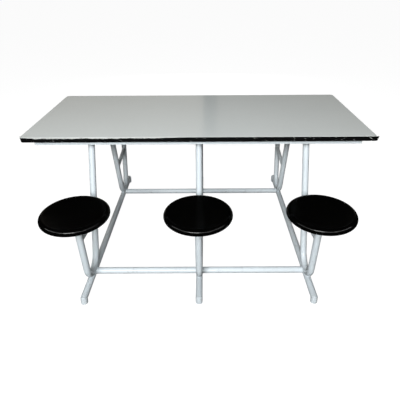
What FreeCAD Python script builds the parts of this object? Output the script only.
# Six-seat canteen table: one welded tube frame that carries a laminated top and six round swivel seats.
# Millimetres. +Z is up, +X runs along the table, -Y is the front. The origin is on the floor under the
# centre of the top.
import FreeCAD, Part
import math
import os

V = FreeCAD.Vector

# ---------------------------------------------------------------- driving dimensions
# top
TABLE_LENGTH = 1608.0
TABLE_WIDTH = 690.0
TABLE_HEIGHT = 725.0
CORNER_RADIUS = 18.0
BOARD_THICKNESS = 22.0
LAMINATE_THICKNESS = 1.0
LAMINATE_BEVEL = 0.8
BACKING_THICKNESS = 0.8
EDGE_BAND_THICKNESS = 2.0
EDGE_BAND_ROUNDING = 1.5

# tubes
TUBE_DIAMETER = 31.75
ARM_DIAMETER = 22.2
TUBE_WALL = 1.5
RAIL_SIDE = 30.0
RAIL_WALL = 1.5
RAIL_CORNER = 3.0

# under-frame
RAIL_SIDE_INSET = 42.0
RAIL_END_INSET = 50.0

# transverse frames
FRAME_END_INSET = 272.0
FLOOR_BAR_HALF_LENGTH = 612.0
FLOOR_BAR_HEIGHT = 27.0
STRETCHER_Y = 407.0
POST_TOP_Y = 167.0
POST_FOOT_Y = 376.0
SEAT_TUBE_FOOT_Y = 486.0
LEG_BEND_RADIUS = 82.0
TOP_BEND_RADIUS = 60.0
UPRIGHT_START = 370.0
ARM_POST_HEIGHT = 265.0
ARM_SEAT_HEIGHT = 300.0

# seats and their swivels
SEAT_DIAMETER = 300.0
SEAT_THICKNESS = 31.0
SEAT_HEIGHT = 460.0
SEAT_Y = 542.0
SEAT_TOP_ROUNDING = 16.0
SEAT_BOTTOM_ROUNDING = 14.0
SEAT_RIM_WIDTH = 25.0
SEAT_DISH_DEPTH = 6.0
PLATE_SIZE = 150.0
PLATE_THICKNESS = 3.0
PLATE_CORNER = 12.0
SPINDLE_DIAMETER = 20.0
SPINDLE_LENGTH = 49.0
BUSH_LENGTH = 15.0
BUSH_FLANGE_DIAMETER = 36.0
BUSH_FLANGE_THICKNESS = 3.0
GROOVE_WIDTH = 10.0
GROOVE_DEPTH = 3.0
GRUB_DIAMETER = 6.0
GRUB_HEAD_DIAMETER = 10.0
GRUB_HEAD_HEIGHT = 4.0

# plugs and screws
PLUG_RIM = 3.0
PLUG_DEPTH = 14.0
SCREW_DIAMETER = 4.8
SCREW_HEAD_DIAMETER = 9.5
SCREW_HEAD_HEIGHT = 3.0
SCREW_BITE = 13.0
RAIL_SCREW_FROM_END = 60.0
RAIL_SCREWS = 4
CROSS_SCREW_Y = 90.0
SEAT_SCREW_BITE = 16.0
SEAT_SCREW_SPACING = 115.0

# clearances
RUNNING_CLEARANCE = 0.06
THRUST_CLEARANCE = 0.3
HOLE_CLEARANCE = 0.2
PLUG_CLEARANCE = 0.1
GROOVE_CLEARANCE = 0.8

# ---------------------------------------------------------------- sizes that follow
tube_radius = TUBE_DIAMETER / 2
tube_bore = tube_radius - TUBE_WALL
frame_spacing = TABLE_LENGTH / 2 - FRAME_END_INSET
top_total = BOARD_THICKNESS + LAMINATE_THICKNESS + BACKING_THICKNESS
laminate_under = TABLE_HEIGHT - LAMINATE_THICKNESS
board_under = laminate_under - BOARD_THICKNESS
top_under = TABLE_HEIGHT - top_total
rail_under = top_under - RAIL_SIDE
rail_y = TABLE_WIDTH / 2 - RAIL_SIDE_INSET - RAIL_SIDE / 2
rail_half_length = TABLE_LENGTH / 2 - RAIL_END_INSET
seat_under = SEAT_HEIGHT - SEAT_THICKNESS
plate_under = seat_under - PLATE_THICKNESS
flange_top = plate_under - THRUST_CLEARANCE
seat_tube_top = flange_top - BUSH_FLANGE_THICKNESS
spindle_end = plate_under - SPINDLE_LENGTH
seat_tube_slope = (SEAT_Y - SEAT_TUBE_FOOT_Y) / UPRIGHT_START
post_slope = (POST_TOP_Y - POST_FOOT_Y) / rail_under
bush_outer = tube_bore
bush_inner = SPINDLE_DIAMETER / 2 + RUNNING_CLEARANCE
lower_bush_top = spindle_end + BUSH_LENGTH
dish_radius = SEAT_DIAMETER / 2 - SEAT_RIM_WIDTH
dish_sphere = (dish_radius ** 2 + SEAT_DISH_DEPTH ** 2) / (2 * SEAT_DISH_DEPTH)
groove_centre = (lower_bush_top + seat_tube_top - BUSH_LENGTH) / 2
grub_radius = GRUB_DIAMETER / 2
frame_names = {"left": -frame_spacing, "middle": 0.0, "right": frame_spacing}
side_names = {"front": -1, "back": 1}


# ---------------------------------------------------------------- helpers
def cylinder(base, axis, radius, length):
    return Part.makeCylinder(radius, length, base, axis)


def box(low, high):
    size = high - low
    return Part.makeBox(size.x, size.y, size.z, low)


def rounded_plate(length, width, radius, bottom, thickness):
    """A flat plate centred on the Z axis, with round corners."""
    block = box(V(-length / 2, -width / 2, bottom), V(length / 2, width / 2, bottom + thickness))
    uprights = [e for e in block.Edges if abs(e.tangentAt(e.FirstParameter).z) > 0.5]
    return block.makeFillet(radius, uprights)


def edges_at(shape, height):
    """All the edges that lie flat at one height."""
    return [e for e in shape.Edges if max(abs(v.Z - height) for v in e.Vertexes) < 1e-6]


def path_through(points, radii):
    """A wire through the points, its inner corners rounded by tangent arcs."""
    edges = []
    start = points[0]
    for before, corner, after, radius in zip(points, points[1:], points[2:], radii):
        back = (before - corner).normalize()
        forth = (after - corner).normalize()
        half = back.getAngle(forth) / 2
        reach = radius / math.tan(half)
        first = corner + back * reach
        last = corner + forth * reach
        inward = (back + forth).normalize()
        middle = corner + inward * (radius / math.sin(half) - radius)
        edges.append(Part.LineSegment(start, first).toShape())
        edges.append(Part.Arc(first, middle, last).toShape())
        start = last
    edges.append(Part.LineSegment(start, points[-1]).toShape())
    return Part.Wire(edges)


def rod_along(path, radius):
    """A solid rod swept along a path."""
    first = path.Edges[0]
    circle = Part.Circle(first.valueAt(first.FirstParameter), first.tangentAt(first.FirstParameter), radius)
    return path.makePipeShell([Part.Wire(circle.toShape())], True, False)


def straight(start, end):
    return Part.Wire(Part.LineSegment(start, end).toShape())


def place(shape, x=0.0, y=0.0, z=0.0):
    moved = shape.copy()
    moved.translate(V(x, y, z))
    return moved


def turned(shape):
    """The same piece for the other side of the table, turned half round the Z axis."""
    copy = shape.copy()
    copy.rotate(V(0, 0, 0), V(0, 0, 1), 180)
    return copy


def save(name, *solids):
    shape = solids[0] if len(solids) == 1 else Part.makeCompound(list(solids))
    shape.exportStep(os.path.join("parts", name + ".step"))


# ---------------------------------------------------------------- centre lines of the front tubes
def post_y(height):
    return -(POST_FOOT_Y + post_slope * height)


def seat_tube_y(height):
    return -(SEAT_TUBE_FOOT_Y + seat_tube_slope * height)


def leg_path():
    """Down the post, round the bend on the floor bar and up to the vertical end under the seat."""
    crossing = (POST_FOOT_Y - SEAT_TUBE_FOOT_Y) / (seat_tube_slope - post_slope)
    post_head = rail_under + TUBE_DIAMETER
    return path_through([V(0, post_y(post_head), post_head),
                         V(0, post_y(crossing), crossing),
                         V(0, -SEAT_Y, UPRIGHT_START),
                         V(0, -SEAT_Y, seat_tube_top)],
                        [LEG_BEND_RADIUS, TOP_BEND_RADIUS])


def arm_path():
    return straight(V(0, post_y(ARM_POST_HEIGHT), ARM_POST_HEIGHT),
                    V(0, seat_tube_y(ARM_SEAT_HEIGHT), ARM_SEAT_HEIGHT))


# ---------------------------------------------------------------- transverse frame
def floor_bar_rod():
    return cylinder(V(0, -FLOOR_BAR_HALF_LENGTH, FLOOR_BAR_HEIGHT), V(0, 1, 0), tube_radius,
                    2 * FLOOR_BAR_HALF_LENGTH)


def mitre_wedge():
    """The half-space beyond the 45 degree mitre at the front end of a floor bar."""
    reach = 4 * TUBE_DIAMETER
    corner_y = -FLOOR_BAR_HALF_LENGTH
    corner_z = FLOOR_BAR_HEIGHT + tube_radius
    outline = Part.makePolygon([V(-reach, corner_y - reach, corner_z + reach),
                                V(-reach, corner_y + reach, corner_z - reach),
                                V(-reach, corner_y - reach, corner_z - reach),
                                V(-reach, corner_y - reach, corner_z + reach)])
    return Part.Face(outline).extrude(V(2 * reach, 0, 0))


def floor_bar():
    """A straight tube, mitred where the feet turn down."""
    bore = cylinder(V(0, -FLOOR_BAR_HALF_LENGTH, FLOOR_BAR_HEIGHT), V(0, 1, 0), tube_bore,
                    2 * FLOOR_BAR_HALF_LENGTH)
    tube = floor_bar_rod().cut(bore)
    wedge = mitre_wedge()
    return tube.cut(wedge).cut(turned(wedge))


def foot_stub():
    """The short upright end of a floor bar, at the front."""
    axis_y = -FLOOR_BAR_HALF_LENGTH + tube_radius
    height = FLOOR_BAR_HEIGHT + tube_radius - PLUG_RIM
    outer = cylinder(V(0, axis_y, PLUG_RIM), V(0, 0, 1), tube_radius, height)
    bore = cylinder(V(0, axis_y, PLUG_RIM), V(0, 0, 1), tube_bore, height)
    return outer.cut(bore).common(mitre_wedge())


def foot_plug():
    """A plastic glide: a rim on the floor and a body pushed up the tube."""
    axis_y = -FLOOR_BAR_HALF_LENGTH + tube_radius
    rim = cylinder(V(0, axis_y, 0), V(0, 0, 1), tube_radius, PLUG_RIM)
    rim = rim.makeChamfer(PLUG_RIM / 3, edges_at(rim, 0.0))
    body = cylinder(V(0, axis_y, PLUG_RIM), V(0, 0, 1), tube_bore - PLUG_CLEARANCE, PLUG_DEPTH)
    return rim.fuse(body).removeSplitter()


def leg_rod():
    return rod_along(leg_path(), tube_radius)


def leg():
    """One bent tube: post, bend saddled on the floor bar, and seat tube."""
    tube = leg_rod().cut(rod_along(leg_path(), tube_bore))
    reach = TABLE_WIDTH
    above = box(V(-reach, -reach, rail_under), V(reach, reach, rail_under + reach))
    hole = cylinder(V(0, -SEAT_Y, groove_centre), V(0, -1, 0), grub_radius + HOLE_CLEARANCE / 2,
                    TUBE_DIAMETER)
    return tube.cut(above).cut(floor_bar_rod()).cut(hole)


def arm():
    """The thinner tube between post and seat tube, coped to both."""
    tube = rod_along(arm_path(), ARM_DIAMETER / 2).cut(rod_along(arm_path(), ARM_DIAMETER / 2 - TUBE_WALL))
    return tube.cut(leg_rod())


def stretcher():
    """A floor-level tube between the left and the middle frame, coped to the bars and the bends."""
    start = V(-frame_spacing, -STRETCHER_Y, FLOOR_BAR_HEIGHT)
    tube = cylinder(start, V(1, 0, 0), tube_radius, frame_spacing)
    tube = tube.cut(cylinder(start, V(1, 0, 0), tube_bore, frame_spacing))
    for x in (-frame_spacing, 0.0):
        tube = tube.cut(place(floor_bar_rod(), x)).cut(place(leg_rod(), x))
    return tube


# ---------------------------------------------------------------- under-frame
def square_tube(length):
    """A square tube along X, centred, with its upper face at z = 0."""
    outer = box(V(-length / 2, -RAIL_SIDE / 2, -RAIL_SIDE), V(length / 2, RAIL_SIDE / 2, 0))
    along = [e for e in outer.Edges if abs(e.tangentAt(e.FirstParameter).x) > 0.5]
    outer = outer.makeFillet(RAIL_CORNER, along)
    inside = RAIL_SIDE / 2 - RAIL_WALL
    bore = box(V(-length / 2, -inside, -RAIL_SIDE + RAIL_WALL), V(length / 2, inside, -RAIL_WALL))
    along = [e for e in bore.Edges if abs(e.tangentAt(e.FirstParameter).x) > 0.5]
    return outer.cut(bore.makeFillet(RAIL_CORNER - RAIL_WALL, along))


def rail_screw_places():
    step = 2 * (rail_half_length - RAIL_SCREW_FROM_END) / (RAIL_SCREWS - 1)
    return [V(-rail_half_length + RAIL_SCREW_FROM_END + i * step, -rail_y, 0) for i in range(RAIL_SCREWS)]


def cross_screw_places():
    return [V(0, -CROSS_SCREW_Y, 0), V(0, CROSS_SCREW_Y, 0)]


def all_screw_places():
    places = []
    for sign in side_names.values():
        places += [V(p.x, -sign * p.y, 0) for p in rail_screw_places()]
    for x in frame_names.values():
        places += [V(x, p.y, 0) for p in cross_screw_places()]
    return places


def drilled(tube, places):
    for p in places:
        tube = tube.cut(cylinder(V(p.x, p.y, rail_under - 1), V(0, 0, 1),
                                 SCREW_DIAMETER / 2 + HOLE_CLEARANCE, RAIL_SIDE + 2))
    return tube


def long_rail():
    tube = place(square_tube(2 * rail_half_length), 0, -rail_y, top_under)
    return drilled(tube, rail_screw_places())


def cross_rail():
    tube = square_tube(2 * rail_y - RAIL_SIDE)
    tube.rotate(V(0, 0, 0), V(0, 0, 1), 90)
    return drilled(place(tube, 0, 0, top_under), cross_screw_places())


def rail_plug():
    """A square plastic plug in the left end of the front rail."""
    half = RAIL_SIDE / 2
    end = V(-rail_half_length, -rail_y, top_under - half)
    rim = box(end + V(-PLUG_RIM, -half, -half), end + V(0, half, half))
    outer = [e for e in rim.Edges if max(abs(v.X - end.x + PLUG_RIM) for v in e.Vertexes) < 1e-6]
    rim = rim.makeChamfer(PLUG_RIM / 3, outer)
    half = RAIL_SIDE / 2 - RAIL_WALL - PLUG_CLEARANCE
    body = box(end + V(0, -half, -half), end + V(PLUG_DEPTH, half, half))
    along = [e for e in body.Edges if abs(e.tangentAt(e.FirstParameter).x) > 0.5]
    return rim.fuse(body.makeFillet(RAIL_CORNER - RAIL_WALL, along)).removeSplitter()


# ---------------------------------------------------------------- top
def core_board():
    inset = 2 * EDGE_BAND_THICKNESS
    board = rounded_plate(TABLE_LENGTH - inset, TABLE_WIDTH - inset, CORNER_RADIUS - EDGE_BAND_THICKNESS,
                          board_under, BOARD_THICKNESS)
    for p in all_screw_places():
        board = board.cut(cylinder(V(p.x, p.y, board_under), V(0, 0, 1), SCREW_DIAMETER / 2,
                                   SCREW_BITE - BACKING_THICKNESS))
    return board


def backing_sheet():
    inset = 2 * EDGE_BAND_THICKNESS
    sheet = rounded_plate(TABLE_LENGTH - inset, TABLE_WIDTH - inset, CORNER_RADIUS - EDGE_BAND_THICKNESS,
                          top_under, BACKING_THICKNESS)
    for p in all_screw_places():
        sheet = sheet.cut(cylinder(V(p.x, p.y, top_under), V(0, 0, 1), SCREW_DIAMETER / 2, BACKING_THICKNESS))
    return sheet


def laminate_sheet():
    sheet = rounded_plate(TABLE_LENGTH, TABLE_WIDTH, CORNER_RADIUS, laminate_under, LAMINATE_THICKNESS)
    return sheet.makeChamfer(LAMINATE_BEVEL, edges_at(sheet, TABLE_HEIGHT))


def edge_band():
    depth = BOARD_THICKNESS + BACKING_THICKNESS
    inset = 2 * EDGE_BAND_THICKNESS
    outer = rounded_plate(TABLE_LENGTH, TABLE_WIDTH, CORNER_RADIUS, top_under, depth)
    outer = outer.makeFillet(EDGE_BAND_ROUNDING, edges_at(outer, top_under))
    inner = rounded_plate(TABLE_LENGTH - inset, TABLE_WIDTH - inset, CORNER_RADIUS - EDGE_BAND_THICKNESS,
                          top_under, depth)
    return outer.cut(inner)


def screw(head_under, length):
    """A pan-head screw that points up, its head's upper face at z = head_under."""
    head = cylinder(V(0, 0, head_under - SCREW_HEAD_HEIGHT), V(0, 0, 1), SCREW_HEAD_DIAMETER / 2,
                    SCREW_HEAD_HEIGHT)
    head = head.makeFillet(SCREW_HEAD_HEIGHT / 2, edges_at(head, head_under - SCREW_HEAD_HEIGHT))
    point = SCREW_DIAMETER / 2
    shank = cylinder(V(0, 0, head_under), V(0, 0, 1), SCREW_DIAMETER / 2, length - point)
    tip = Part.makeCone(SCREW_DIAMETER / 2, 0, point, V(0, 0, head_under + length - point), V(0, 0, 1))
    return head.fuse([shank, tip]).removeSplitter()


# ---------------------------------------------------------------- seat and swivel, on the Z axis
def seat_disc():
    """A round seat with soft edges, its top dished like a shallow bowl."""
    radius = SEAT_DIAMETER / 2
    disc = cylinder(V(0, 0, seat_under), V(0, 0, 1), radius, SEAT_THICKNESS)
    disc = disc.makeFillet(SEAT_TOP_ROUNDING, edges_at(disc, SEAT_HEIGHT))
    disc = disc.makeFillet(SEAT_BOTTOM_ROUNDING, edges_at(disc, seat_under))
    disc = disc.cut(Part.makeSphere(dish_sphere, V(0, 0, SEAT_HEIGHT - SEAT_DISH_DEPTH + dish_sphere)))
    for p in seat_screw_places():
        disc = disc.cut(cylinder(V(p.x, p.y, seat_under), V(0, 0, 1), SCREW_DIAMETER / 2, SEAT_SCREW_BITE))
    return disc


def seat_screw_places():
    half = SEAT_SCREW_SPACING / 2
    return [V(x, y, 0) for x in (-half, half) for y in (-half, half)]


def swivel_plate():
    plate = rounded_plate(PLATE_SIZE, PLATE_SIZE, PLATE_CORNER, plate_under, PLATE_THICKNESS)
    plate = plate.cut(cylinder(V(0, 0, plate_under), V(0, 0, 1), SPINDLE_DIAMETER / 2, PLATE_THICKNESS))
    for p in seat_screw_places():
        plate = plate.cut(cylinder(V(p.x, p.y, plate_under), V(0, 0, 1),
                                   SCREW_DIAMETER / 2 + HOLE_CLEARANCE, PLATE_THICKNESS))
    return plate


def spindle():
    """A turned pin welded in the plate, with a groove that the retaining screw rides in."""
    radius = SPINDLE_DIAMETER / 2
    pin = cylinder(V(0, 0, spindle_end), V(0, 0, 1), radius, SPINDLE_LENGTH + PLATE_THICKNESS)
    pin = pin.makeChamfer(GROOVE_DEPTH / 2, edges_at(pin, spindle_end))
    base = V(0, 0, groove_centre - GROOVE_WIDTH / 2)
    ring = cylinder(base, V(0, 0, 1), radius * 2, GROOVE_WIDTH)
    return pin.cut(ring.cut(cylinder(base, V(0, 0, 1), radius - GROOVE_DEPTH, GROOVE_WIDTH)))


def upper_bush():
    """A flanged nylon bush: its flange carries the plate."""
    body = cylinder(V(0, 0, seat_tube_top - BUSH_LENGTH), V(0, 0, 1), bush_outer, BUSH_LENGTH)
    flange = cylinder(V(0, 0, seat_tube_top), V(0, 0, 1), BUSH_FLANGE_DIAMETER / 2, BUSH_FLANGE_THICKNESS)
    bore = cylinder(V(0, 0, seat_tube_top - BUSH_LENGTH), V(0, 0, 1), bush_inner,
                    BUSH_LENGTH + BUSH_FLANGE_THICKNESS)
    return body.fuse(flange).removeSplitter().cut(bore)


def lower_bush():
    base = V(0, 0, spindle_end)
    return cylinder(base, V(0, 0, 1), bush_outer, BUSH_LENGTH).cut(cylinder(base, V(0, 0, 1), bush_inner,
                                                                            BUSH_LENGTH))


def retaining_screw():
    """A set screw through the wall of the seat tube, with its tip in the spindle's groove."""
    tip = SPINDLE_DIAMETER / 2 - GROOVE_DEPTH + GROOVE_CLEARANCE
    shank = cylinder(V(0, -tip, groove_centre), V(0, -1, 0), grub_radius, tube_radius - tip)
    head = cylinder(V(0, -tube_radius, groove_centre), V(0, -1, 0), GRUB_HEAD_DIAMETER / 2, GRUB_HEAD_HEIGHT)
    return shank.fuse(head).removeSplitter()


# ---------------------------------------------------------------- build and save
def build_top():
    save("laminate_sheet", laminate_sheet())
    save("core_board", core_board())
    save("backing_sheet", backing_sheet())
    save("edge_band", edge_band())
    one = screw(rail_under, RAIL_SIDE + SCREW_BITE)
    save("top_screws", *[place(one, p.x, p.y) for p in all_screw_places()])


def build_under_frame():
    front = long_rail()
    save("rail_front", front)
    save("rail_back", turned(front))
    cross = cross_rail()
    for name, x in frame_names.items():
        save("cross_rail_" + name, place(cross, x))
    plug = rail_plug()
    right = plug.mirror(V(0, 0, 0), V(1, 0, 0))
    save("rail_plugs", plug, right, turned(plug), turned(right))


def build_frames():
    bar = floor_bar()
    stub = foot_stub()
    plug = foot_plug()
    front_leg = leg()
    front_arm = arm()
    plugs = []
    for name, x in frame_names.items():
        save("floor_bar_" + name, place(bar, x))
        save("foot_stubs_" + name, place(stub, x), place(turned(stub), x))
        plugs += [place(plug, x), place(turned(plug), x)]
        save("leg_front_" + name, place(front_leg, x))
        save("leg_back_" + name, place(turned(front_leg), x))
        save("arm_front_" + name, place(front_arm, x))
        save("arm_back_" + name, place(turned(front_arm), x))
    save("foot_plugs", *plugs)
    run = stretcher()
    save("stretcher_front_left", run)
    save("stretcher_front_right", place(run, frame_spacing))
    save("stretcher_back_right", turned(run))
    save("stretcher_back_left", place(turned(run), -frame_spacing))


def build_seats():
    disc = seat_disc()
    plate = swivel_plate()
    pin = spindle()
    one = screw(plate_under, PLATE_THICKNESS + SEAT_SCREW_BITE)
    bushes = []
    grubs = []
    for side, sign in side_names.items():
        for name, x in frame_names.items():
            y = sign * SEAT_Y
            label = side + "_" + name
            save("seat_" + label, place(disc, x, y))
            save("swivel_plate_" + label, place(plate, x, y))
            save("spindle_" + label, place(pin, x, y))
            save("seat_screws_" + label, *[place(one, x + p.x, y + p.y) for p in seat_screw_places()])
            bushes += [place(upper_bush(), x, y), place(lower_bush(), x, y)]
            grub = retaining_screw() if sign < 0 else turned(retaining_screw())
            grubs.append(place(grub, x, y))
    save("swivel_bushes", *bushes)
    save("retaining_screws", *grubs)


os.makedirs("parts", exist_ok=True)
build_top()
build_under_frame()
build_frames()
build_seats()
